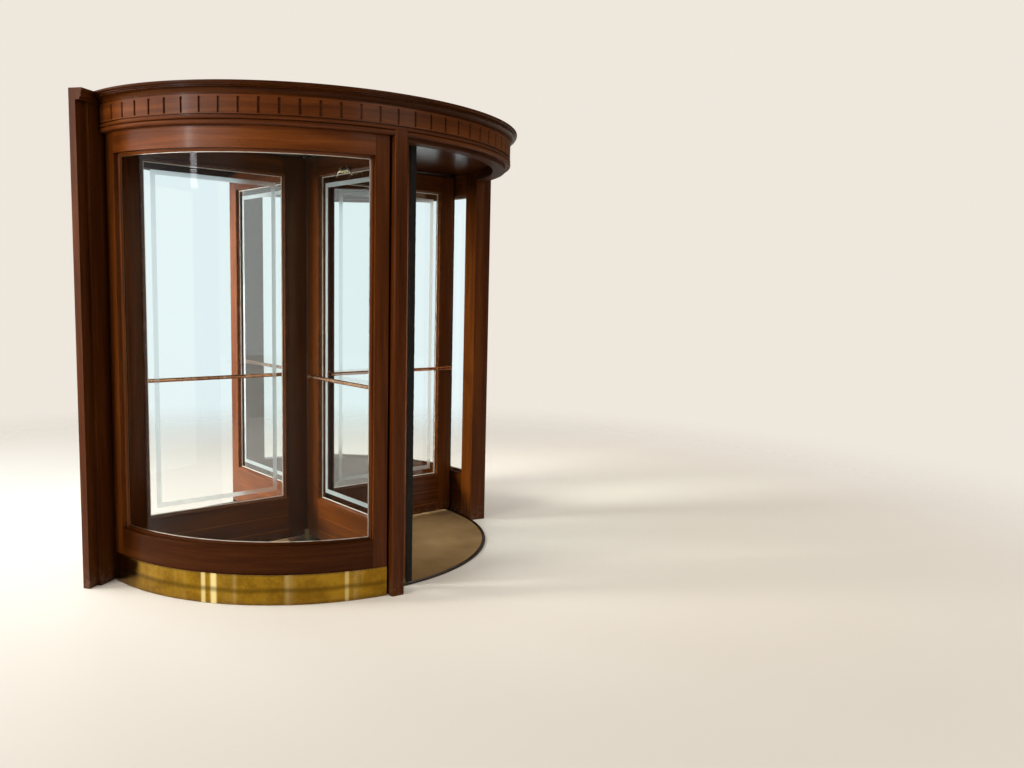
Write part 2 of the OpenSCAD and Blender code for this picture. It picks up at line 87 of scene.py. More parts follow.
class Graph:
    """The node tree of a new material or world, with short ways to add nodes and join them."""

    def __init__(self, owner, output):
        owner.use_nodes = True
        self.owner = owner
        self.tree = owner.node_tree
        self.tree.nodes.clear()
        self.out = self.node(output)

    def put(self, socket, value):
        """Joins an input to an output, or sets it to a number or a colour."""
        if isinstance(value, bpy.types.NodeSocket):
            self.tree.links.new(value, socket)
        elif socket.type == "RGBA":
            socket.default_value = (*value, 1.0)
        else:
            socket.default_value = value

    def node(self, kind, inputs=None, **props):
        """A new node with its settings and its inputs."""
        n = self.tree.nodes.new("ShaderNode" + kind)
        for key, value in props.items():
            setattr(n, key, value)
        for key, value in (inputs or {}).items():
            self.put(n.inputs[key], value)
        return n

    def math(self, operation, *values):
        """The result of one operation on numbers."""
        return self.node("Math", dict(enumerate(values)), operation=operation).outputs[0]

    def add(self, a, b):
        """The sum of two numbers."""
        return self.math("ADD", a, b)

    def times(self, a, b):
        """The product of two numbers."""
        return self.math("MULTIPLY", a, b)

    def weighed(self, *terms):
        """The sum of values, each times its share."""
        shares = [self.times(value, share) for value, share in terms]
        total = shares.pop()
        while shares:
            total = self.add(shares.pop(), total)
        return total

    def mix(self, fac, a, b, blend="MIX"):
        """Colour a, going over to colour b as fac goes to 1."""
        return self.node("Mix", {0: fac, 6: a, 7: b}, data_type="RGBA", blend_type=blend).outputs[2]

    def mix_numbers(self, fac, a, b):
        """Number a, going over to number b as fac goes to 1."""
        return self.node("Mix", {0: fac, 2: a, 3: b}).outputs[0]

    def mix_shaders(self, fac, a, b):
        """Shader a, going over to shader b as fac goes to 1."""
        return self.node("MixShader", {0: fac, 1: a, 2: b}).outputs[0]

    def ramp(self, fac, stops):
        """A run of colours, given as (place, colour)."""
        n = self.node("ValToRGB", {0: fac})
        elements = n.color_ramp.elements
        while len(elements) < len(stops):
            elements.new(0.5)
        for element, (at, colour) in zip(elements, stops):
            element.position = at
            element.color = (*colour, 1.0)
        return n.outputs[0]

    def smooth(self, value, low, high, to_low=0.0, to_high=1.0):
        """A soft step from to_low to to_high while the value goes from low to high."""
        inputs = {0: value, 1: low, 2: high, 3: to_low, 4: to_high}
        return self.node("MapRange", inputs, interpolation_type="SMOOTHSTEP").outputs[0]

    def noise(self, vector, scale, detail=3.0, rough=0.55, distort=0.0):
        """Cloudy noise between 0 and 1."""
        inputs = {"Vector": vector, "Scale": scale, "Detail": detail, "Roughness": rough,
                  "Distortion": distort}
        return self.node("TexNoise", inputs).outputs["Fac"]

    def drawn_noise(self, parts, scales, detail=3.0, rough=0.55, distort=0.0):
        """Noise with its own scale along each of the three parts."""
        scaled = [self.times(part, scale) for part, scale in zip(parts, scales)]
        vector = self.node("CombineXYZ", dict(enumerate(scaled))).outputs[0]
        return self.noise(vector, 1.0, detail, rough, distort)

    def place(self):
        """The object-space point and its x, y and z. Pieces sit at the origin, so these are in the frame."""
        point = self.node("TexCoord").outputs["Object"]
        return point, tuple(self.node("SeparateXYZ", {0: point}).outputs)

    def bump(self, height, distance, strength, normal=None):
        """A bumped normal, laid over another one if it is given."""
        inputs = {"Height": height, "Distance": distance, "Strength": strength}
        if normal is not None:
            inputs["Normal"] = normal
        return self.node("Bump", inputs).outputs[0]

    def show(self, shader):
        """Joins a shader to the tree's output."""
        self.put(self.out.inputs["Surface"], shader)

    def principled(self, **inputs):
        """The standard surface, joined to the output. An underscore in a name stands for a space."""
        shader = self.node("BsdfPrincipled", {key.replace("_", " "): value for key, value in inputs.items()})
        self.show(shader.outputs[0])
        return shader.outputs[0]


def new_material(name):
    """The empty node tree of a new material."""
    return Graph(bpy.data.materials.new(name), "OutputMaterial")


def share_of(colour, share):
    """A colour times a share."""
    return tuple(c * share for c in colour)


# The grain's way on each kind of piece: its own length first, then the two ways across.

def ring_parts(g, place):
    """Length along the ring, distance from the axis and height. The seam faces the street."""
    x, y, z = place
    turn = g.math("ARCTAN2", x, g.times(y, -1.0))
    radius = g.math("SQRT", g.add(g.times(x, x), g.times(y, y)))
    return g.times(turn, WALL_R), radius, z


def upright_parts(g, place):
    """Height first, for boards that stand."""
    x, y, z = place
    return z, x, y


def plank_parts(g, place):
    """The frame's own x, y and z, for boards that lie along the building's wall."""
    return place


def leaf_angle(leaf):
    """Where a leaf stands at rest, in degrees from +X."""
    return REST_ANGLE + 90 * (leaf - 1)


def leaf_parts_of(leaf):
    """The function that gives the distance along one leaf, the distance through it, and the height."""
    turn = math.radians(leaf_angle(leaf))
    c, s = math.cos(turn), math.sin(turn)

    def leaf_parts(g, place):
        x, y, z = place
        along = g.add(g.times(x, c), g.times(y, s))
        across = g.math("SUBTRACT", g.times(y, c), g.times(x, s))
        return along, across, z

    return leaf_parts


# Wood.

# Dark, middle and light tone of the varnished mahogany, and the place of each in its figure.
MAHOGANY = ((0.043, 0.0092, 0.0014), (0.112, 0.0275, 0.0036), (0.200, 0.0560, 0.0085))
TONE_STOPS = (0.33, 0.50, 0.68)

# Colours of a joint line and of a scuff, and the two ends of a scale of greys.
LINE_TONE, SCUFF_TONE = (0.012, 0.005, 0.003), (0.17, 0.11, 0.075)
BLACK, WHITE = (0.0, 0.0, 0.0), (1.0, 1.0, 1.0)

# Scales of the grain's layers, along the grain and the two ways across it, and how far its lines bend.
BEND_SCALES = (0.8, 2.0, 2.0)
BOARD_SCALES = (0.5, 4.0, 4.0)
FIGURE_SCALES = (1.3, 26.0, 26.0)
STREAK_SCALES = (4.0, 170.0, 170.0)
PORE_SCALES = (55.0, 1500.0, 1500.0)
BEND_REACH = 0.05

# How far the grain of a leaf's uprights is moved, so that they look cut from another board.
OTHER_BOARD = 3.7

# How far a leaf's upright joint lines are from its pane, the heights of the lines between the boards of
# its bottom rail, and the heights of the painted highlights under them, pale lines for light on the boards'
# edges.
JOINT_GAP, JOINT_HALF = 0.026, 0.0006
BOARD_LINES, BOARD_LINE_HALF = (0.0875, 0.1735), 0.0020
PAINTED_HIGHLIGHT_EDGES, PAINTED_HIGHLIGHT_HALF = (0.0825, 0.1685), 0.0030

# The height up to which the wood is scuffed, and how far out of corners the painted shade reaches.
SCUFF_TOP = 0.13
CORNER_SHADE_REACH = 0.030

# Depths of the pores, and of the slow waves in the wood's face and in its coat of varnish.
PORE_DEPTH, FACE_WAVE, COAT_WAVE = 0.00025, 0.0014, 0.0012


def toned_and_shaded(share):
    """The three tones of the mahogany, each times a share that is partly its own tone and partly painted
    light and shade.
    """
    return [share_of(tone, share) for tone in MAHOGANY]


def turned(g, mask, parts):
    """The parts as they are where mask is 0, and with height as the grain's way where it is 1."""
    a, b, c = parts
    return g.mix_numbers(mask, a, c), b, g.mix_numbers(mask, c, a)


def near_either(g, value, places, half):
    """1 within half of either place, and 0 beyond."""
    return g.math("MAXIMUM", *[g.math("COMPARE", value, at, half) for at in places])


def leaf_masks(g, parts, z):
    """Masks of a leaf's uprights, its joint lines, the painted highlights under them, and its painted shade.
    """
    along = parts[0]
    inner, outer = PANE_IN - JOINT_GAP, PANE_OUT + JOINT_GAP
    by_shaft = g.math("LESS_THAN", along, inner)
    upright = g.math("MAXIMUM", by_shaft, g.math("GREATER_THAN", along, outer))
    rail = g.math("SUBTRACT", 1.0, upright)
    boards = g.times(near_either(g, z, BOARD_LINES, BOARD_LINE_HALF), rail)
    line = g.math("MAXIMUM", near_either(g, along, (inner, outer), JOINT_HALF), boards)
    # Painted highlight: pale lines under the bottom rail's board lines, for light on their edges.
    painted_edge_highlight = g.times(near_either(g, z, PAINTED_HIGHLIGHT_EDGES, PAINTED_HIGHLIGHT_HALF), rail)
    # Painted shade: the upright by the shaft, and above the bottom rail the strip up to the pane, are
    # darkened for the shade on them.
    painted_shade_to_pane = g.times(g.math("LESS_THAN", along, PANE_IN), g.math("GREATER_THAN", z, PANE_Z))
    return upright, line, painted_edge_highlight, g.math("MAXIMUM", by_shaft, painted_shade_to_pane)


def grain(g, parts, tones):
    """The colour of the grain, and the streaks and pores that its bump follows."""
    bend = g.drawn_noise(parts, BEND_SCALES, 2.0)
    parts = (parts[0], parts[1], g.add(parts[2], g.times(bend, BEND_REACH)))
    board = g.drawn_noise(parts, BOARD_SCALES, 2.0)
    figure = g.drawn_noise(parts, FIGURE_SCALES, 5.0, 0.6, 0.35)
    streak = g.drawn_noise(parts, STREAK_SCALES, 3.0, 0.6)
    pores = g.drawn_noise(parts, PORE_SCALES, 2.0, 0.6)
    colour = g.ramp(g.weighed((figure, 0.55), (streak, 0.25), (board, 0.20)), list(zip(TONE_STOPS, tones)))
    fleck = g.smooth(pores, 0.34, 0.46, 0.62, 1.0)
    colour = g.mix(1.0, colour, g.ramp(fleck, [(0.0, BLACK), (1.0, WHITE)]), "MULTIPLY")
    return colour, streak, fleck


def joined(g, colour, tones, line, painted_edge_highlight, inner):
    """The colour with painted shade by the shaft, painted highlights and dark joint lines."""
    # Painted shade on the upright by the shaft.
    colour = g.mix(g.times(inner, 0.45), colour, share_of(tones[0], 0.2))
    # Painted highlight under the bottom rail's board lines.
    colour = g.mix(g.times(painted_edge_highlight, 0.55), colour, share_of(tones[2], 1.9))
    return g.mix(line, colour, LINE_TONE)


def scuffed(g, point, z, colour, rough):
    """The colour and roughness with pale scuffs near the floor."""
    patches = g.smooth(g.noise(point, 38.0, 5.0, 0.7), 0.45, 0.62)
    scuff = g.times(g.smooth(z, 0.0, SCUFF_TOP, 1.0, 0.0), patches)
    return g.mix(g.times(scuff, 0.35), colour, SCUFF_TONE), g.add(rough, g.times(scuff, 0.25))


def wood(name, parts_of, tones, gloss=0.34, coat=0.12, seed=0.0, masks_of=None, floor_wear=True,
         underside=0.0, shine=0.16):
    """Varnished mahogany. parts_of gives the grain's way and masks_of a leaf's joints, painted highlights and
    painted shade. underside is how much duller it is where it faces down."""
    g = new_material(name)
    point, place = g.place()
    z = place[2]
    parts = parts_of(g, place)
    joints = None
    if masks_of:
        upright, *joints = masks_of(g, parts, z)
        along, across, up = turned(g, upright, parts)
        parts = (along, g.add(across, g.times(upright, OTHER_BOARD)), up)
    parts = (g.add(parts[0], seed), parts[1], parts[2])
    colour, streak, fleck = grain(g, parts, tones)
    rough = g.add(gloss - 0.07, g.times(g.noise(point, 7.0), 0.14))
    # A leaf's joint lines, with its painted highlights and painted shade.
    if joints:
        colour = joined(g, colour, tones, *joints)
    if floor_wear:
        colour, rough = scuffed(g, point, z, colour, rough)
    # Painted shade: the wood is darkened in corners, grooves and slots, where shade falls.
    painted_corner_shade = g.node("AmbientOcclusion", {"Distance": CORNER_SHADE_REACH}, samples=8).outputs["AO"]
    colour = g.mix(g.smooth(painted_corner_shade, 0.12, 0.72, 0.75, 0.0), colour, share_of(tones[0], 0.10))
    facing_up = g.node("SeparateXYZ", {0: g.node("NewGeometry").outputs["Normal"]}).outputs[2]
    rough = g.add(rough, g.smooth(facing_up, -0.9, -0.4, underside, 0.0))
    pored = g.bump(g.weighed((fleck, 0.6), (streak, 0.4)), PORE_DEPTH, 0.35)
    g.principled(Base_Color=colour, Roughness=rough, Specular_IOR_Level=shine,
                 Normal=g.bump(g.noise(point, 16.0, 2.0), FACE_WAVE, 0.20, pored),
                 Coat_Weight=coat, Coat_Roughness=0.13,
                 Coat_Normal=g.bump(g.noise(point, 11.0, 2.0), COAT_WAVE, 0.25))
    return g.owner


# Metal.

# Painted highlights: bright upright bands in the kick plates, each as its length along the ring from the
# lobby direction, its half width and its strength, and the brass colour they go to.
PAINTED_HIGHLIGHT_BANDS = ((1.775, 0.016, 0.8), (1.722, 0.022, 1.0), (1.086, 0.014, 0.45))
PAINTED_HIGHLIGHT_BRASS = (0.96, 0.80, 0.36)

# A painted reflection: the dark line that runs along the kick plates, with its least height, how far it
# strays above that, its half width and its colour.
REFLECTION_Z, REFLECTION_STRAY, REFLECTION_HALF = 0.056, 0.034, 0.021
REFLECTION_TONE = (0.085, 0.045, 0.006)

# How far tarnish creeps in from the kick plates' lower and upper edge, and its colour.
TARNISH_LOW, TARNISH_HIGH = 0.022, 0.012
TARNISH_TONE = (0.20, 0.110, 0.026)

# Depths of the hairline scratches and of the waves in the kick plates' sheet.
HAIRLINE_DEPTH, SHEET_WAVE = 0.00004, 0.0035

# The bare metal of the shaft's boss, and the length over which the paint starts above it.
BOSS_METAL, BOSS_FADE = (0.46, 0.37, 0.24), 0.002


def tarnished(g, z, fine, colour, rough):
    """The colour and roughness with tarnish along the kick plate's lower and upper edge."""
    low = g.smooth(z, KICK_Z, KICK_Z + TARNISH_LOW, 1.0, 0.0)
    high = g.smooth(z, KICK_TOP - TARNISH_HIGH, KICK_TOP, 0.0, 0.7)
    edge = g.times(g.math("MAXIMUM", low, high), g.smooth(fine, 0.3, 0.6))
    return g.mix(edge, colour, TARNISH_TONE), g.add(rough, g.times(edge, 0.25))


def painted_reflections(g, ring, colour):
    """The colour with painted highlights in bright upright bands and a painted dark reflection along the
    plate.
    """
    length = g.math("ABSOLUTE", ring[0])
    # Painted highlights: soft upright streaks and bright bands of paler brass.
    soft = g.drawn_noise(ring, (7.0, 0.0, 0.35), 3.0, 0.6)
    painted_highlight = g.times(g.smooth(soft, 0.52, 0.74), 0.30)
    for at, half, most in PAINTED_HIGHLIGHT_BANDS:
        gap = g.math("ABSOLUTE", g.math("SUBTRACT", length, at))
        painted_highlight = g.math("MAXIMUM", painted_highlight, g.smooth(gap, half * 0.35, half, most, 0.0))
    colour = g.mix(painted_highlight, colour, PAINTED_HIGHLIGHT_BRASS)
    # Painted reflection: a dark wavering line along the plate.
    stray = g.times(g.drawn_noise(ring, (3.4, 0.0, 0.0)), REFLECTION_STRAY)
    off_reflection = g.math("ABSOLUTE", g.math("SUBTRACT", ring[2], g.add(stray, REFLECTION_Z)))
    return g.mix(g.smooth(off_reflection, 0.001, REFLECTION_HALF, 0.62, 0.0), colour, REFLECTION_TONE)


def metal(name, deep, pale, rough, seed=0.0, kick_plate=False):
    """Metal with smudges and hairline scratches. The kick plates also have sheet waves, tarnish, painted
    highlights and a painted reflection.
    """
    g = new_material(name)
    point, place = g.place()
    shifted = g.node("VectorMath", {0: point, 1: (seed, seed, seed)}, operation="ADD").outputs[0]
    smudge = g.noise(shifted, 9.0, 4.0, 0.6)
    fine = g.noise(shifted, 60.0, 4.0, 0.65)
    colour = g.mix(g.smooth(g.weighed((smudge, 0.7), (fine, 0.3)), 0.36, 0.64), deep, pale)
    roughness = g.smooth(g.weighed((smudge, 0.5), (fine, 0.5)), 0.3, 0.7, *rough)
    ring = ring_parts(g, place)
    normal = g.bump(g.drawn_noise(ring, (12.0, 900.0, 900.0), 2.0), HAIRLINE_DEPTH, 0.35)
    sheet = {}
    if kick_plate:
        colour, roughness = tarnished(g, place[2], fine, colour, roughness)
        colour = painted_reflections(g, ring, colour)
        normal = g.bump(g.drawn_noise(ring, (2.6, 1.0, 2.2), 2.0), SHEET_WAVE, 0.55, normal)
        tangent = g.node("Tangent", direction_type="RADIAL", axis="Z").outputs[0]
        sheet = {"Tangent": tangent, "Anisotropic": 0.5, "Anisotropic_Rotation": 0.25}
    g.principled(Base_Color=colour, Metallic=1.0, Roughness=roughness, Normal=normal, **sheet)
    return g.owner


def painted(name, deep, pale, gloss, bare_below):
    """Dark paint on metal with fine dust and rubbed patches, and the boss's bare metal below a height."""
    g = new_material(name)
    point, place = g.place()
    rub = g.noise(point, 14.0, 4.0, 0.6)
    bare = g.smooth(place[2], bare_below, bare_below + BOSS_FADE, 1.0, 0.0)
    colour = g.mix(g.smooth(rub, 0.38, 0.68), deep, pale)
    colour = g.mix(bare, colour, BOSS_METAL)
    g.principled(Base_Color=colour, Metallic=bare, Roughness=g.smooth(rub, 0.3, 0.7, gloss, gloss + 0.18),
                 Normal=g.bump(g.noise(point, 240.0, 2.0, 0.6), 0.0002, 0.3),
                 Coat_Weight=0.2, Coat_Roughness=0.2)
    return g.owner


# Glass, putty, mat and brushes.

# How much a smear adds to the roughness of glass.
SMEAR = 0.035

# The putty's colour past a length along the ring, and the length over which it goes darker.
DARK_PUTTY, DARK_PUTTY_FADE = (0.050, 0.028, 0.014), 0.07

# The mat's pile from dark to pale, the dark between its fibres and its ribs, and the depth of the ribs.
PILE_TONES = ((0.22, (0.290, 0.168, 0.060)), (0.45, (0.440, 0.264, 0.100)), (0.75, (0.600, 0.390, 0.170)))
FIBRE_DARK, RIB_DARK = (0.085, 0.055, 0.028), (0.05, 0.035, 0.02)
RIB_DEPTH = 0.0015

# The brushes' hair from dark to pale, the dust on it, and the depth of its strands.
HAIR_TONES = ((0.35, (0.002, 0.002, 0.002)), (0.7, (0.011, 0.010, 0.009)))
DUST_TONE = (0.050, 0.044, 0.038)
STRAND_DEPTH = 0.0012


def glass(name, tint, index, rough=0.0, clear_part=1.0):
    """Glass with faint smears. Lamplight goes straight through, and an etched line is less clear."""
    g = new_material(name)
    smears = g.drawn_noise(g.place()[1], (3.0, 3.0, 1.6), 4.0, 0.6)
    pane = g.node("BsdfPrincipled", {"Base Color": tint, "IOR": index, "Transmission Weight": clear_part,
                                     "Roughness": g.smooth(smears, 0.45, 0.75, rough, rough + SMEAR)})
    clear = g.node("BsdfTransparent", {"Color": share_of(tint, 0.97)})
    to_lamps = g.node("LightPath").outputs["Is Shadow Ray"]
    g.show(g.mix_shaders(to_lamps, pane.outputs[0], clear.outputs[0]))
    return g.owner


def putty(name, clean, grubby, darker_from=None):
    """Smooth putty with a few grubby stretches, and darker past a length along the ring."""
    g = new_material(name)
    point, place = g.place()
    grime = g.smooth(g.noise(point, 17.0, 4.0, 0.65), 0.48, 0.72)
    colour = g.mix(grime, clean, grubby)
    if darker_from:
        # Darker past a length along the ring.
        length = g.math("ABSOLUTE", ring_parts(g, place)[0])
        colour = g.mix(g.smooth(length, darker_from, darker_from + DARK_PUTTY_FADE), colour, DARK_PUTTY)
    g.principled(Base_Color=colour, Roughness=g.smooth(grime, 0.0, 1.0, 0.30, 0.55),
                 Normal=g.bump(g.noise(point, 160.0, 2.0), 0.0002, 0.4))
    return g.owner


def matting():
    """Worn brown ribbed matting: low ribs, fibres and a paler path round the middle, where people walk."""
    g = new_material("mat_pile")
    point, place = g.place()
    wave = {"Vector": point, "Scale": 55.0, "Distortion": 0.6, "Detail": 2.0, "Detail Scale": 3.0}
    ribs = g.node("TexWave", wave, wave_type="BANDS", bands_direction="Y").outputs["Fac"]
    fibre = g.noise(point, 900.0, 3.0, 0.7)
    patch = g.noise(point, 5.0, 4.0, 0.6)
    radius = ring_parts(g, place)[1]
    path = g.times(g.smooth(radius, 0.25, 0.6), g.smooth(radius, 0.75, 1.0, 1.0, 0.0))
    colour = g.ramp(g.weighed((patch, 0.6), (path, 0.3)), PILE_TONES)
    colour = g.mix(g.smooth(fibre, 0.3, 0.7, 0.35, 0.0), colour, FIBRE_DARK)
    colour = g.mix(g.times(g.smooth(ribs, 0.0, 0.45, 1.0, 0.0), 0.45), colour, RIB_DARK)
    pile = g.bump(g.add(ribs, g.times(fibre, 0.5)), RIB_DEPTH, 0.8)
    g.principled(Base_Color=colour, Roughness=0.95, Normal=pile, Specular_IOR_Level=0.08,
                 Sheen_Weight=0.05, Sheen_Roughness=0.5)
    return g.owner


def bristle():
    """Black brush hair: fine strands with a little dust."""
    g = new_material("brush_strands")
    point, place = g.place()
    strand = g.drawn_noise(place, (160.0, 160.0, 1300.0), 2.0)
    dust = g.smooth(g.noise(point, 22.0, 4.0, 0.6), 0.5, 0.75)
    colour = g.mix(g.times(dust, 0.12), g.ramp(strand, HAIR_TONES), DUST_TONE)
    g.principled(Base_Color=colour, Roughness=0.62, Normal=g.bump(strand, STRAND_DEPTH, 0.9),
                 Specular_IOR_Level=0.25)
    return g.owner


# The finishes, and the nodes that carry them.

# The shares of the mahogany's tones here are partly painted light and shade: the low rail, the cornice, the
# posts, the panels and the jamb are darker copies of the same wood for the shade they stand in.
RING_WOOD = wood("mahogany_ring", ring_parts, toned_and_shaded(0.74), coat=0.10, floor_wear=False, underside=0.45)
CORNICE_WOOD = wood("mahogany_cornice", ring_parts, toned_and_shaded(0.32), gloss=0.28, coat=0.03, seed=2.3,
                    floor_wear=False, shine=0.07)
RAIL_WOOD = wood("mahogany_rail", ring_parts, toned_and_shaded(0.80), gloss=0.30, seed=5.1)
# Painted shade: the low rail is a much darker copy of the top rail's mahogany.
LOW_WOOD = wood("mahogany_low_rail", ring_parts, toned_and_shaded(0.29), gloss=0.32, coat=0.02, seed=6.4, shine=0.05)
POST_WOOD = wood("mahogany_post", upright_parts, toned_and_shaded(0.60), coat=0.07, seed=7.7, shine=0.08)
PANEL_WOOD = wood("mahogany_panel", upright_parts, toned_and_shaded(0.50), seed=9.2)
JAMB_WOOD = wood("mahogany_jamb", upright_parts, toned_and_shaded(0.48), gloss=0.32, seed=11.9)
CEILING_WOOD = wood("mahogany_ceiling", plank_parts, toned_and_shaded(0.40), gloss=0.24, coat=0.2, seed=3.3,
                    floor_wear=False)
HEADER_WOOD = wood("mahogany_header", ring_parts, toned_and_shaded(0.40), coat=0.05, seed=4.3, floor_wear=False,
                   underside=0.35)
DECK_WOOD = wood("dust_cover_wood", plank_parts, toned_and_shaded(0.60), gloss=0.62, coat=0.0, seed=6.3,
                 floor_wear=False)
KICK_BRASS = metal("polished_kick_brass", (0.215, 0.112, 0.010), (0.36, 0.205, 0.018), rough=(0.16, 0.24),
                   kick_plate=True)
BAR_BRASS = metal("worn_bar_brass", (0.46, 0.20, 0.095), (0.68, 0.38, 0.22), rough=(0.16, 0.32), seed=4.0)
CLIP_BRASS = metal("clip_brass", (0.62, 0.48, 0.27), (0.86, 0.74, 0.50), rough=(0.20, 0.32), seed=8.0)
RIM_METAL = metal("brown_rim_metal", (0.030, 0.018, 0.011), (0.072, 0.046, 0.029), rough=(0.34, 0.52),
                  seed=5.5)
FLOOR_METAL = metal("dull_floor_metal", (0.170, 0.138, 0.090), (0.360, 0.300, 0.205), rough=(0.30, 0.44),
                    seed=1.5)
STEEL = metal("screw_steel", (0.32, 0.27, 0.20), (0.48, 0.42, 0.33), rough=(0.25, 0.4), seed=2.5)
SHAFT_PAINT = painted("shaft_paint", (0.018, 0.010, 0.007), (0.040, 0.023, 0.015), gloss=0.32,
                      bare_below=0.064)
WALL_GLASS = glass("curved_glass", (0.97, 0.99, 0.985), index=1.17)
LEAF_GLASS = glass("leaf_glass", (0.97, 0.99, 0.985), index=1.50)
ETCHED = glass("etched_line", (0.88, 0.97, 1.0), index=1.30, rough=0.32, clear_part=0.70)
WALL_PUTTY = putty("wall_putty", (0.46, 0.43, 0.38), (0.17, 0.13, 0.09), darker_from=2.09)
LEAF_PUTTY = putty("leaf_putty", (0.78, 0.76, 0.70), (0.50, 0.46, 0.38))
MATTING = matting()
BRISTLE = bristle()

FINISHES = {
    "fascia": RING_WOOD, "fascia_band": RING_WOOD, "cornice": CORNICE_WOOD, "ceiling": CEILING_WOOD,
    "top_deck": DECK_WOOD, "lobby_header": HEADER_WOOD, "street_header": HEADER_WOOD, "floor_mat": MATTING,
    "mat_rim": RIM_METAL, "floor_pivot": FLOOR_METAL, "central_shaft": SHAFT_PAINT,
}
SIDE_FINISHES = {
    "lobby_post": POST_WOOD, "street_post": POST_WOOD, "bottom_rail": LOW_WOOD, "top_rail": RAIL_WOOD,
    "stiles": POST_WOOD, "glass": WALL_GLASS, "kick_plate": KICK_BRASS, "back_panel": PANEL_WOOD,
    "jamb": JAMB_WOOD,
}
LEAF_FINISHES = {"glass": LEAF_GLASS, "push_bar": BAR_BRASS, "brushes": BRISTLE}

# The share of the mahogany's tones on each leaf, partly painted light: the leaf the window light falls on
# is a lighter copy, the leaves in shade darker ones.
LEAF_TONES_AND_LIGHT = {1: 0.80, 2: 0.68, 3: 0.92, 4: 0.62}


def finish_node(node, material):
    """Gives a CAD node its finish."""
    slots = NODES[node].data.materials
    slots.clear()
    slots.append(material)


def leaf_wood(leaf):
    """A leaf's own wood, with its joints drawn in and its painted light and shade."""
    return wood(f"mahogany_leaf_{leaf}", leaf_parts_of(leaf), toned_and_shaded(LEAF_TONES_AND_LIGHT[leaf]), seed=13.0 + 3.1 * leaf,
                masks_of=leaf_masks)


for node, finish in FINISHES.items():
    finish_node(node, finish)
for side in SIDES:
    for node, finish in SIDE_FINISHES.items():
        finish_node(f"{side}_{node}", finish)
for leaf in LEAVES:
    finish_node(f"leaf_{leaf}_frame", leaf_wood(leaf))
    for node, finish in LEAF_FINISHES.items():
        finish_node(f"leaf_{leaf}_{node}", finish)


# Ways to make a piece.

def leaf_turn(leaf):
    """The matrix that puts a leaf's own metres into the frame."""
    return Matrix.Rotation(math.radians(leaf_angle(leaf)), 4, "Z")


def piece(name, bm, body, materials, turn=None, replaces=(), sharp=35.0):
    """Makes a mesh piece that rides on a body, smooth but for edges sharper than the angle."""
    if turn is not None:
        bm.transform(turn)
    bmesh.ops.recalc_face_normals(bm, faces=bm.faces)
    mesh = bpy.data.meshes.new(name)
    bm.to_mesh(mesh)
    bm.free()
    for material in materials:
        mesh.materials.append(material)
    mesh.polygons.foreach_set("use_smooth", [True] * len(mesh.polygons))
    mesh.set_sharp_from_angle(angle=math.radians(sharp))
    obj = bpy.data.objects.new(name, mesh)
    bpy.context.scene.collection.objects.link(obj)
    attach(obj, body)
    if replaces:
        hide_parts(*replaces)


def loops_to_faces(bm, loops):
    """Joins neighbouring loops of points with quads, and caps the first and the last."""
    rows = [[bm.verts.new(p) for p in loop] for loop in loops]
    for a, b in zip(rows, rows[1:]):
        for i in range(len(a)):
            j = (i + 1) % len(a)
            bm.faces.new((a[i], a[j], b[j], b[i]))
    bm.faces.new(rows[0][::-1])
    bm.faces.new(rows[-1])


def circle(radius, height, steps):
    """Points round a circle about +Z."""
    turns = [2 * math.pi * i / steps for i in range(steps)]
    return [Vector((radius * math.cos(a), radius * math.sin(a), height)) for a in turns]


def lathe(bm, profile, matrix, steps=24):
    """Turns a profile of (radius, height) about the matrix's Z, closed at both ends."""
    loops_to_faces(bm, [[matrix @ p for p in circle(radius, height, steps)] for radius, height in profile])


def rect(x1, x2, z1, z2, y):
    """The corners of an upright rectangle in a leaf's own metres."""
    return [Vector((x1, y, z1)), Vector((x2, y, z1)), Vector((x2, y, z2)), Vector((x1, y, z2))]


def pane_rect(grow, y):
    """The corners of a leaf's seen pane, grown on all four sides."""
    return rect(PANE_IN - grow, PANE_OUT + grow, PANE_Z - grow, PANE_TOP + grow, y)


def on_wall(side, angle, radius, z):
    """A point on one side wall, at an angle from the lobby direction."""
    sign = -1 if side == "west" else 1
    a = math.radians(angle)
    return Vector((sign * math.sin(a), -math.cos(a), 0)) * radius + Vector((0, 0, z))


def toward_push(x, z):
    """A matrix at a point on a leaf's pushed face, its Z out of the face."""
    return Matrix.Translation((x, -FACE_Y, z)) @ Matrix.Rotation(math.radians(90), 4, "X")


def screw_head(bm, matrix, radius):
    """A low domed screw head, with a thin bar across it that reads as its slot."""
    rise = radius * 0.32
    dome = [(radius, 0.0), (radius, rise * 0.35), (radius * 0.82, rise * 0.8), (radius * 0.45, rise)]
    lathe(bm, dome, matrix, steps=20)
    half_l, half_w = radius * 0.74, radius * 0.16
    corners = ((-half_l, -half_w), (half_l, -half_w), (half_l, half_w), (-half_l, half_w))
    heights = (rise * 0.70, rise * 1.02)
    loops_to_faces(bm, [[matrix @ Vector((x, y, h)) for x, y in corners] for h in heights])


# The slotted band.

# A slot's half width at the band's face, where the flat beside it gets a column of points, the width of its
# sloping flanks and the wood left under it, and the height and depth of the band's eased lower edge.
SLOT_HALF = SLOT_W / 2 + 0.0012
BESIDE = 2.2 * SLOT_HALF
FLANK, SLOT_ROOT = 0.0032, 0.0004
EASE_H, EASE_D = 0.0014, 0.00098


def band_depth(u, z):
    """How far the band's face is cut back, at a length from a slot's middle and a height."""
    if z == BAND_Z:
        return EASE_D
    slope = min(SLOT_HALF - abs(u), SLOT_H / 2 - abs(z - SLOT_Z), FLANK)
    return max(0.0, slope / FLANK) * (BAND_T - SLOT_ROOT)


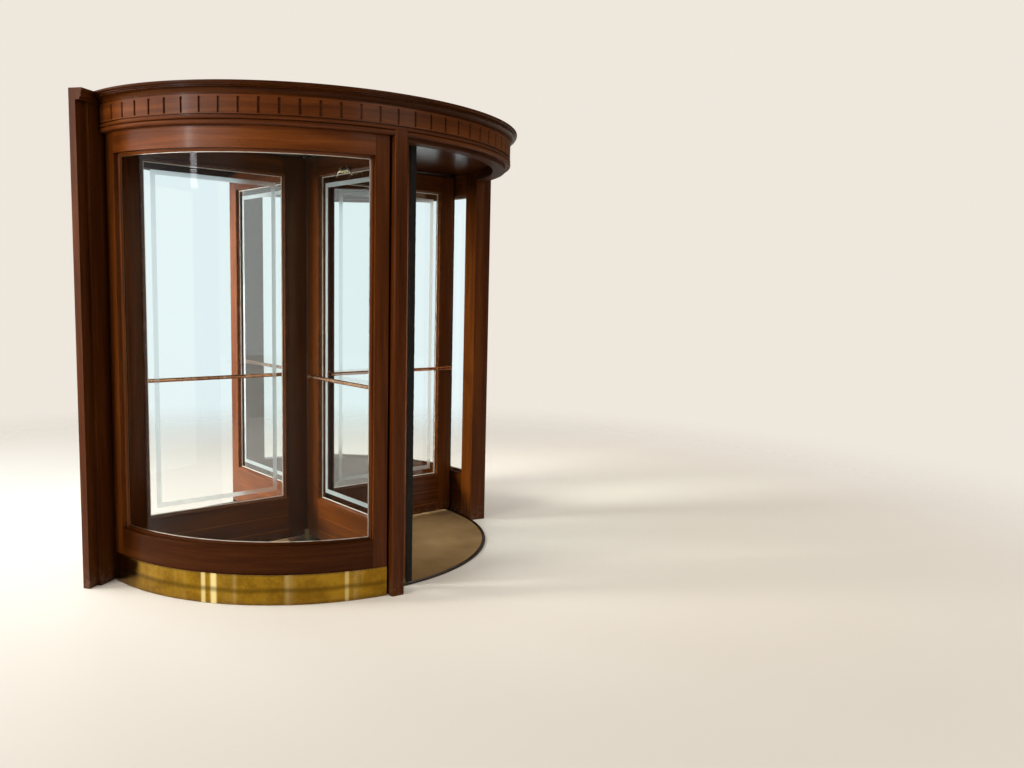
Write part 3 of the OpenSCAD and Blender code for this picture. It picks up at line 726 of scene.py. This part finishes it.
def slotted_band():
    """The band on the fascia, its slots cut with sloping flanks and its lower edge eased."""
    bm = bmesh.new()
    face = BAND_R + BAND_T
    low, high = SLOT_Z - SLOT_H / 2, SLOT_Z + SLOT_H / 2
    heights = [BAND_Z, BAND_Z + EASE_H, low, low + FLANK, high - FLANK, high, CORNICE_Z - SEAT]
    across = [-BESIDE, -SLOT_HALF, FLANK - SLOT_HALF, SLOT_HALF - FLANK, SLOT_HALF, BESIDE]
    loops = []
    for n in range(SLOT_COUNT):
        centre = math.radians(SLOT_START + 360 * n / SLOT_COUNT)
        for u in across:
            out = Vector((math.cos(centre + u / face), math.sin(centre + u / face), 0))
            outer = [out * (face - band_depth(u, z)) + Vector((0, 0, z)) for z in heights]
            foot, head = [out * BAND_R + Vector((0, 0, z)) for z in (heights[0], heights[-1])]
            loops.append([bm.verts.new(p) for p in [foot, *outer, head]])
    for a, b in zip(loops, loops[1:] + loops[:1]):
        for k in range(len(a)):
            bm.faces.new((a[k - 1], b[k - 1], b[k], a[k]))
    piece("slotted_band", bm, "drum", [RING_WOOD], replaces=("fascia_band",), sharp=28.0)


# The curved panes of the side walls.

# Steps round the drum of the two panes and of the putty line.
PANE_STEPS, BACK_PANE_STEPS, LINE_STEPS = 120, 24, 100

# The putty line on the curved glass: its width, its thickness, the slope of its edges, and how far it runs
# under the beads, in metres above and below and in degrees at the sides.
LINE_W, LINE_T, LINE_SLOPE = 0.0030, 0.0011, 0.0006
LINE_UNDER, LINE_TURN_UNDER = 0.001, 0.05


def wall_strip(bm, side, radii, angles, low, high, steps):
    """A strip that follows a side wall. low and high each hold the heights at its two radii."""
    a1, a2 = angles
    r1, r2 = radii
    loops = []
    for i in range(steps + 1):
        a = a1 + (a2 - a1) * i / steps
        loops.append([on_wall(side, a, r1, low[0]), on_wall(side, a, r2, low[1]),
                      on_wall(side, a, r2, high[1]), on_wall(side, a, r1, high[0])])
    loops_to_faces(bm, loops)


def curved_panes(side):
    """The two sheets of bent glass of one side wall."""
    bm = bmesh.new()
    radii = (GLASS_R - GLASS_T / 2, GLASS_R + GLASS_T / 2)
    low, high = (GLASS_Z[0], GLASS_Z[0]), (GLASS_Z[1], GLASS_Z[1])
    wall_strip(bm, side, radii, GLASS_ANGLES, low, high, PANE_STEPS)
    wall_strip(bm, side, radii, BACK_GLASS_ANGLES, low, high, BACK_PANE_STEPS)
    piece(f"{side}_bent_panes", bm, "drum", [WALL_GLASS], replaces=(f"{side}_glass",),
          sharp=40.0)


def line_strip(bm, side, a1, a2, z1, z2, steps):
    """One run of the putty line on the curved glass, its upper and lower edges sloped."""
    radius = GLASS_R + GLASS_T / 2 + SEAT
    low, high = (z1, z1 + LINE_SLOPE), (z2, z2 - LINE_SLOPE)
    wall_strip(bm, side, (radius, radius + LINE_T), (a1, a2), low, high, steps)


def glazing_line(side):
    """The pale line of putty between the lobby pane of one side wall and its beads, on the outer face."""
    bm = bmesh.new()
    (a1, a2), (z1, z2) = SEEN_ANGLES, SEEN_Z
    turn = math.degrees(LINE_W / GLASS_R)
    low, high = z1 + LINE_W + SEAT, z2 - LINE_W - SEAT
    line_strip(bm, side, a1, a2, z1 - LINE_UNDER, z1 + LINE_W, LINE_STEPS)
    line_strip(bm, side, a1, a2, z2 - LINE_W, z2 + LINE_UNDER, LINE_STEPS)
    line_strip(bm, side, a1 - LINE_TURN_UNDER, a1 + turn, low, high, 2)
    line_strip(bm, side, a2 - turn, a2 + LINE_TURN_UNDER, low, high, 2)
    piece(f"{side}_glazing_line", bm, "drum", [WALL_PUTTY])


# The panes of the leaves.

# How far in from the seen pane's edge the etched line starts, its width and depth, and the width of its
# sloping sides.
ETCH_IN, ETCH_W, ETCH_D, ETCH_SLOPE = 0.037, 0.025, 0.0003, 0.0004

# The putty line round a pane: its width, its thickness and how far it runs into the frame.
PUTTY_W, PUTTY_T, PUTTY_UNDER = 0.0035, 0.0009, 0.002


def etched_pane(leaf):
    """A leaf's glass with a frosted line cut a little way in from its edge, round the pushed face."""
    bm = bmesh.new()
    half = PANE_T / 2
    start, end = ETCH_IN, ETCH_IN + ETCH_W
    front = [(-end, half), (-end + ETCH_SLOPE, half - ETCH_D), (-start - ETCH_SLOPE, half - ETCH_D),
             (-start, half), (REBATE, half)]
    loops_to_faces(bm, [pane_rect(grow, -y) for grow, y in front] + [pane_rect(REBATE, half)])
    for face in bm.faces:
        middle = face.calc_center_median()
        inset = min(middle.x - PANE_IN, PANE_OUT - middle.x, middle.z - PANE_Z, PANE_TOP - middle.z)
        if start < inset < end and middle.y < 0:
            face.material_index = 1
    piece(f"leaf_{leaf}_pane", bm, "rotor", [LEAF_GLASS, ETCHED], leaf_turn(leaf),
          (f"leaf_{leaf}_glass",), sharp=1.0)


def pane_line(leaf):
    """The pale line of putty round a leaf's glass, on both faces."""
    bm = bmesh.new()
    for side in (-1, 1):
        base, top = side * (PANE_T / 2 + SEAT), side * (PANE_T / 2 + SEAT + PUTTY_T)
        section = [(PUTTY_UNDER, base), (PUTTY_UNDER, top), (-PUTTY_W, top), (-PUTTY_W, base)]
        rows = [[bm.verts.new(p) for p in pane_rect(grow, y)] for grow, y in section]
        for a, b in zip(rows, rows[1:] + rows[:1]):
            for i in range(4):
                j = (i + 1) % 4
                bm.faces.new((a[i], a[j], b[j], b[i]))
    piece(f"leaf_{leaf}_pane_line", bm, "rotor", [LEAF_PUTTY], leaf_turn(leaf), sharp=30.0)


# The brushes.

# The length of one step of hair along a brush, the steps across it and the most that its carrier is high.
HAIR_PITCH, HAIR_ACROSS, CARRIER_H = 0.007, 5, 0.003

# How far a tip falls short of its brush's depth at least, and half of what its own place and its stretch of
# the brush add at most.
TIP_SHORT, TIP_OWN, TIP_STRETCH = 0.0010, 0.0008, 0.0007

# How far the brushes on the top and bottom edges stay off the shaft and its boss.
BRUSH_GAP = 0.004


def hair_tip(i, j, s, width, seed):
    """How far a tip falls short, and its place across the strip, both a little uneven along the brush."""
    wobble = noise.noise(Vector((i * 0.35, j * 0.9, seed)))
    rag = noise.noise(Vector((i * 0.06, seed, 3.0)))
    flank = noise.noise(Vector((i * HAIR_PITCH * 38.0, seed, 11.0)))
    lean = noise.noise(Vector((i * 0.22, seed, 7.0))) * width * 0.04
    short = TIP_SHORT + TIP_OWN * (wobble + 1) + TIP_STRETCH * (rag + 1)
    half = width / 2 * (0.90 + 0.075 * flank + 0.02 * wobble)
    return short, s * half + lean * (1 if abs(s) < 0.99 else 0.35)


def brush(bm, start, ways, length, depth, width, seed):
    """A brush strip: a flat carrier and a body of hair. ways are the ways along, out and aside."""
    along, out, aside = ways
    carrier = min(CARRIER_H, depth * 0.3)
    steps = max(2, int(length / HAIR_PITCH))
    shares = [-1 + 2 * j / HAIR_ACROSS for j in range(HAIR_ACROSS + 1)]
    loops = []
    for i in range(steps + 1):
        at = start + along * (length * i / steps)
        loop = [at + aside * (s * width / 2) for s in shares]
        loop.append(at + out * carrier + aside * (width / 2))
        for j, s in reversed(list(enumerate(shares))):
            short, sideways = hair_tip(i, j, s, width, seed)
            loop.append(at + out * (depth - short) + aside * sideways)
        loop.append(at + out * carrier - aside * (width / 2))
        loops.append(loop)
    loops_to_faces(bm, loops)


def leaf_brush(leaf):
    """The brushes on a leaf's upright, top and bottom edge."""
    bm = bmesh.new()
    x, y, z = Vector((1, 0, 0)), Vector((0, 1, 0)), Vector((0, 0, 1))
    brush(bm, Vector((LEAF_R + SEAT, 0, SIDE_BRUSH_Z)), (z, x, y), BRUSH_TOP - SIDE_BRUSH_Z,
          BRUSH_R - LEAF_R - SEAT, SIDE_BRUSH_T, leaf + 0.1)
    for edge, way, foot, seed in ((LEAF_TOP + SEAT, z, SHAFT_R, 0.4), (LEAF_Z - SEAT, -z, BOSS_R, 0.7)):
        inner = foot + BRUSH_GAP
        brush(bm, Vector((inner, 0, edge)), (x, way, y), LEAF_R - inner, END_BRUSH_H - SEAT, END_BRUSH_T,
              leaf + seed)
    piece(f"leaf_{leaf}_hair", bm, "rotor", [BRISTLE], leaf_turn(leaf),
          (f"leaf_{leaf}_brushes",), sharp=50.0)


# The trim of the push bars, the catch and the screws.

# Profiles as (radius, height): the collars at a post's base and neck and the catch's body over a leaf's face,
# and the two collars on a bar, each from its own middle.
BASE_COLLAR = [(0.0105, 0.0050), (0.0112, 0.0060), (0.0105, 0.0080), (0.0088, 0.0095), (0.0084, 0.0100)]
NECK_COLLAR = [(0.0088, 0.0270), (0.0104, 0.0285), (0.0108, 0.0305), (0.0096, 0.0335)]
BAR_COLLAR = [(0.0112, -0.0022), (0.0122, -0.0012), (0.0122, 0.0012), (0.0112, 0.0022)]
CATCH_BODY = [(0.0125, 0.0), (0.0135, 0.0012), (0.0135, 0.0084), (0.0125, 0.0100), (0.0105, 0.0108),
              (0.0095, 0.0120), (0.0120, 0.0165), (0.0138, 0.0205), (0.0112, 0.0255), (0.0050, 0.0278)]

# How far a bar's collars are from the middle of its post, and the screws of a post's base: radius, distance
# from the post's middle, height over the leaf's face, and angles.
BAR_COLLAR_OFF = 0.0115
BASE_SCREW_R, BASE_SCREW_OUT, BASE_SCREW_H = 0.0019, 0.0122, 0.0049
BASE_SCREW_TURNS = (90, 210, 330)

# The leaf that carries the catch, the catch's place on it, and its screw.
CATCH_LEAF, CATCH_X, CATCH_Z = 3, 0.468, 2.1475
CATCH_SCREW_R, CATCH_SCREW_H = 0.0046, 0.0272

# The catch's wings: start and length from the catch's middle, distance from the leaf's face and bulge away
# from it, rise and droop, half height over the tip's at the root, the tip's own, and half thickness.
WING_IN, WING_L = 0.006, 0.072
WING_OFF, WING_BULGE = 0.016, 0.008
WING_RISE, WING_DROOP = 0.012, 0.032
WING_HALF, WING_TIP, WING_T = 0.0130, 0.0045, 0.0042

# The screws of the floor pivot's cover: radius, distance from the axis and height.
PIVOT_SCREW_R, PIVOT_SCREW_OUT, PIVOT_SCREW_Z = 0.0055, 0.108, 0.0106


def bar_trim(leaf):
    """Collars where a push bar's posts meet the bar and the bases, and the screws in the bases."""
    bm = bmesh.new()
    for x in BRACKETS:
        face = toward_push(x, BAR_Z)
        lathe(bm, BASE_COLLAR, face)
        lathe(bm, NECK_COLLAR, face)
        along = Matrix.Translation((x, -BAR_OUT, BAR_Z)) @ Matrix.Rotation(math.radians(90), 4, "Y")
        for shift in (-BAR_COLLAR_OFF, BAR_COLLAR_OFF):
            lathe(bm, [(radius, shift + off) for radius, off in BAR_COLLAR], along, steps=28)
        for turn in BASE_SCREW_TURNS:
            a = math.radians(turn)
            at = (BASE_SCREW_OUT * math.cos(a), BASE_SCREW_OUT * math.sin(a), BASE_SCREW_H)
            screw_head(bm, face @ Matrix.Translation(at), BASE_SCREW_R)
    piece(f"leaf_{leaf}_bar_trim", bm, "rotor", [BAR_BRASS], leaf_turn(leaf))


def wing(bm, side):
    """One swept wing of the catch, which rises a little, then droops and thins towards its tip."""
    steps, around = 14, 12
    loops = []
    for i in range(steps + 1):
        t = i / steps
        x = CATCH_X + side * (WING_IN + WING_L * t)
        y = -FACE_Y - WING_OFF - WING_BULGE * math.sin(t * math.pi)
        z = CATCH_Z + WING_RISE * math.sin(t * math.pi * 0.9) - WING_DROOP * t * t
        half = WING_HALF * (1 - t) ** 0.6 + WING_TIP
        thick = WING_T * (1 - 0.45 * t)
        turns = [2 * math.pi * k / around for k in range(around)]
        loops.append([Vector((x, y + thick * math.cos(a), z + half * math.sin(a))) for a in turns])
    loops_to_faces(bm, loops)


def top_catch():
    """The small winged brass catch on one leaf's top rail, with its round base and screw."""
    bm = bmesh.new()
    face = toward_push(CATCH_X, CATCH_Z)
    lathe(bm, CATCH_BODY, face)
    screw_head(bm, face @ Matrix.Translation((0, 0, CATCH_SCREW_H)), CATCH_SCREW_R)
    for side in (-1, 1):
        wing(bm, side)
    piece(f"leaf_{CATCH_LEAF}_top_catch", bm, "rotor", [CLIP_BRASS], leaf_turn(CATCH_LEAF))


def pivot_screws():
    """Four screws in the floor pivot's cover."""
    bm = bmesh.new()
    for k in range(4):
        a = math.radians(REST_ANGLE + 45 + 90 * k)
        at = (PIVOT_SCREW_OUT * math.cos(a), PIVOT_SCREW_OUT * math.sin(a), PIVOT_SCREW_Z)
        screw_head(bm, Matrix.Translation(at), PIVOT_SCREW_R)
    piece("pivot_screws", bm, "drum", [STEEL])


for side in SIDES:
    curved_panes(side)
    glazing_line(side)
for leaf in LEAVES:
    etched_pane(leaf)
    pane_line(leaf)
    leaf_brush(leaf)
    bar_trim(leaf)
top_catch()
pivot_screws()
slotted_band()


# Stage, light and camera.

BACKDROP, STONE = (0.86, 0.80, 0.72), (0.78, 0.745, 0.69)

# The floor's half width, and the distances from the axis between which it gives way to the backdrop.
FLOOR_HALF, FLOOR_FADE = 14.0, (2.4, 6.5)

# Where the surroundings change, from 0 in line with the building's wall to 1 straight towards the street.
STREET_STOPS = (0.06, 0.30)

# Colours of the light.
COOL, SKY = (0.95, 0.98, 1.0), (0.93, 0.97, 1.0)
WARM, LAMPLIGHT = (1.0, 0.93, 0.84), (1.0, 0.90, 0.76)

# The camera's place, its right and its way ahead, and its lens and sensor in millimetres.
CAMERA_AT = (-4.7022, -2.3677, 1.5235)
CAMERA_RIGHT = (0.2336, -0.9720, 0.0234)
CAMERA_AHEAD = (0.9672, 0.2299, -0.1076)
LENS, SENSOR = 30.29, 36.0


def plain_floor():
    """A pale floor that gives way to the plain backdrop away from the door."""
    bm = bmesh.new()
    for x, y in ((-1, -1), (1, -1), (1, 1), (-1, 1)):
        bm.verts.new((x * FLOOR_HALF, y * FLOOR_HALF, 0))
    bm.faces.new(bm.verts)
    mesh = bpy.data.meshes.new("stage_floor")
    bm.to_mesh(mesh)
    bm.free()
    g = new_material("stage_floor")
    stone = g.principled(Base_Color=STONE, Roughness=0.50, Specular_IOR_Level=0.25)
    gone = g.node("BsdfTransparent").outputs[0]
    away = g.smooth(ring_parts(g, g.place()[1])[1], *FLOOR_FADE)
    path = g.node("LightPath").outputs
    seen = g.math("MAXIMUM", path["Is Camera Ray"], path["Is Transmission Ray"])
    g.show(g.mix_shaders(g.times(away, seen), stone, gone))
    mesh.materials.append(g.owner)
    obj = bpy.data.objects.new("stage_floor", mesh)
    bpy.context.scene.collection.objects.link(obj)


def shade(g, colour, strength=1.0):
    """An even background."""
    return g.node("Background", {"Color": colour, "Strength": strength}).outputs[0]


def street_side(g, lobby, street):
    """One background towards the lobby and one towards the street, with a soft change between."""
    way = g.node("SeparateXYZ", {0: g.node("TexCoord").outputs["Generated"]}).outputs[1]
    return shade(g, g.ramp(way, list(zip(STREET_STOPS, (lobby, street)))))


def plain_world():
    """Pale surroundings for the camera, daylight on the street side of the glass, and soft light around."""
    world = bpy.data.worlds.new("surroundings")
    bpy.context.scene.world = world
    g = Graph(world, "OutputWorld")
    path = g.node("LightPath").outputs
    surface = shade(g, WARM, 0.60)
    mirrored = street_side(g, (0.11, 0.076, 0.048), (0.90, 0.98, 1.0))
    surface = g.mix_shaders(path["Is Glossy Ray"], surface, mirrored)
    through = street_side(g, (0.74, 0.56, 0.36), (0.86, 0.97, 1.0))
    surface = g.mix_shaders(path["Is Transmission Ray"], surface, through)
    g.show(g.mix_shaders(path["Is Camera Ray"], surface, shade(g, BACKDROP)))


def lamp(name, at, to, size, power, colour, shows=True, spread=180.0):
    """A rectangular lamp aimed at a point. Where shows is False it isn't seen in gloss or through glass."""
    data = bpy.data.lights.new(name, "AREA")
    data.shape = "RECTANGLE"
    data.size, data.size_y = size
    data.energy = power
    data.color = colour
    data.spread = math.radians(spread)
    obj = bpy.data.objects.new(name, data)
    obj.location = at
    obj.visible_glossy = obj.visible_transmission = shows
    obj.rotation_euler = (Vector(to) - Vector(at)).to_track_quat("-Z", "Y").to_euler()
    bpy.context.scene.collection.objects.link(obj)


def camera():
    """The photograph's view, found from the drum's round edges."""
    data = bpy.data.cameras.new("view")
    data.lens, data.sensor_width, data.sensor_fit = LENS, SENSOR, "HORIZONTAL"
    data.clip_start, data.clip_end = 0.05, 100.0
    obj = bpy.data.objects.new("view", data)
    right = Vector(CAMERA_RIGHT).normalized()
    ahead = Vector(CAMERA_AHEAD).normalized()
    up = right.cross(ahead).normalized()
    right = ahead.cross(up).normalized()
    rows = Matrix((right, up, -ahead)).transposed()
    obj.matrix_world = Matrix.Translation(CAMERA_AT) @ rows.to_4x4()
    bpy.context.scene.collection.objects.link(obj)
    bpy.context.scene.camera = obj


plain_floor()
plain_world()
lamp("window_sheen", at=(-3.8, 1.9, 2.9), to=(-1.1, 0.0, 2.3), size=(0.24, 1.2), power=15.0, colour=COOL)
lamp("window_glow", at=(-3.9, 1.7, 2.2), to=(-1.1, 0.0, 1.5), size=(2.2, 2.4), power=31.0, colour=WARM,
     shows=False, spread=70.0)
lamp("lobby_soft", at=(-2.6, -5.2, 4.2), to=(0.0, -0.2, 1.3), size=(3.4, 2.4), power=45.0, colour=LAMPLIGHT)
lamp("street_soft", at=(-0.6, 5.4, 3.0), to=(0.0, 0.2, 1.1), size=(4.0, 2.4), power=160.0, colour=SKY,
     shows=False, spread=130.0)
lamp("street_sun", at=(-2.2, 4.6, 2.3), to=(0.35, 0.5, 1.1), size=(2.2, 1.6), power=76.0, colour=WARM,
     shows=False, spread=44.0)
lamp("overhead", at=(0.0, -1.0, 6.0), to=(0.0, 0.0, 0.0), size=(5.0, 5.0), power=75.0, colour=WARM,
     shows=False)
camera()
bpy.context.scene.view_settings.view_transform = "Standard"
